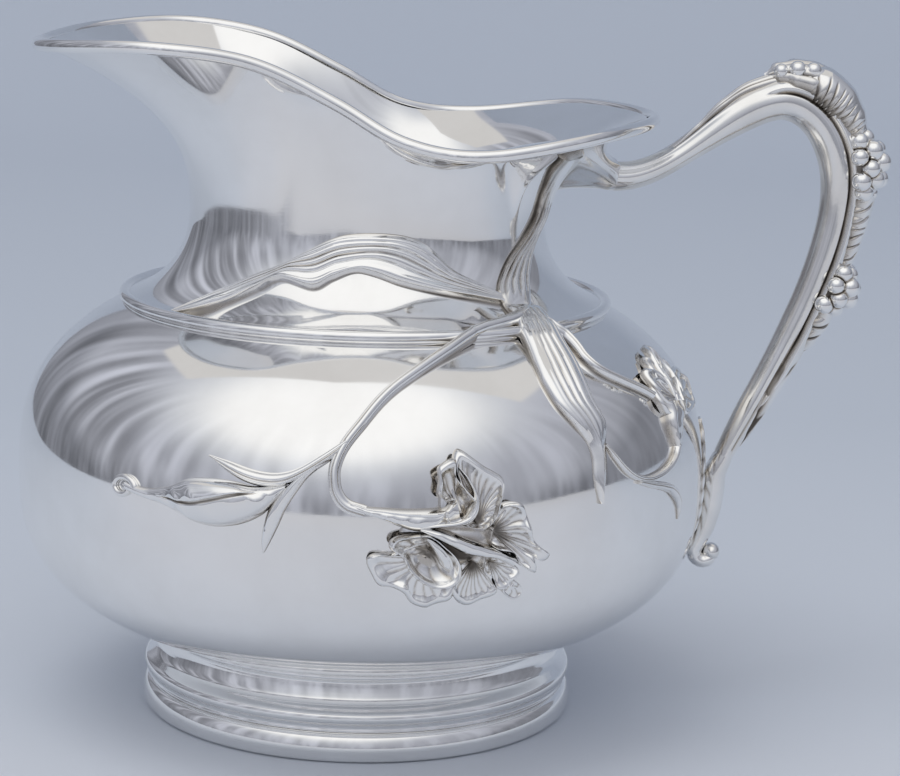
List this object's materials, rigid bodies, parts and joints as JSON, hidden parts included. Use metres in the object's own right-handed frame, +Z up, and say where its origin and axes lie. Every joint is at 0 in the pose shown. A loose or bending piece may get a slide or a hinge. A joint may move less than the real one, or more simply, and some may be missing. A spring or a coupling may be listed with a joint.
{
  "type": "water pitcher",
  "caption": "Squat silver water pitcher with a spun foot, a broad flared pouring lip, a looped cast handle and iris sprays applied to its sides.",
  "frame": {"origin": "on the floor plane, under the middle of the whole pitcher's bounding box; the foot's axis is at x = -24.2 mm", "axes": "+Z up, +X towards the handle, -X towards the pouring lip, -Y the left side with the handle in the hand and the lip ahead"},
  "size_m": [0.239, 0.204, 0.1884],
  "materials": {
    "bright_silver": "polished silver sheet",
    "cast_silver": "polished cast silver, darker in the recesses"
  },
  "bodies": {
    "root": {"bowl": "bright_silver", "neck_throat": "bright_silver", "neck_flare": "bright_silver", "spout_lip": "bright_silver", "collar_wire": "bright_silver", "rim_wire_left": "bright_silver", "rim_wire_right": "bright_silver", "foot_ring": "bright_silver", "foot_base_wire": "bright_silver", "handle_half_left": "cast_silver", "handle_half_right": "cast_silver", "handle_root": "cast_silver", "handle_scroll": "cast_silver", "handle_leaf_plate": "cast_silver", "handle_cap_leaf": "cast_silver", "handle_crest_leaf": "cast_silver", "handle_upper_berries": "cast_silver", "handle_scroll_leaf": "cast_silver", "handle_lower_berries": "cast_silver", "handle_tail_leaf": "cast_silver", "handle_end_leaf": "cast_silver", "stalk_strap_left": "cast_silver", "long_leaf_left": "cast_silver", "hanging_leaf_left": "cast_silver", "flower_stem_left": "cast_silver", "iris_flower_left": "cast_silver", "curl_leaf_left": "cast_silver", "sickle_leaf_left": "cast_silver", "bud_left": "cast_silver", "back_stalk_left": "cast_silver", "back_flower_left": "cast_silver", "back_stem_left": "cast_silver", "back_leaf_left": "cast_silver", "stalk_strap_right": "cast_silver", "long_leaf_right": "cast_silver", "hanging_leaf_right": "cast_silver", "flower_stem_right": "cast_silver", "iris_flower_right": "cast_silver", "curl_leaf_right": "cast_silver", "sickle_leaf_right": "cast_silver", "bud_right": "cast_silver", "back_stalk_right": "cast_silver", "back_flower_right": "cast_silver", "back_stem_right": "cast_silver", "back_leaf_right": "cast_silver"}
  },
  "joints": []
}
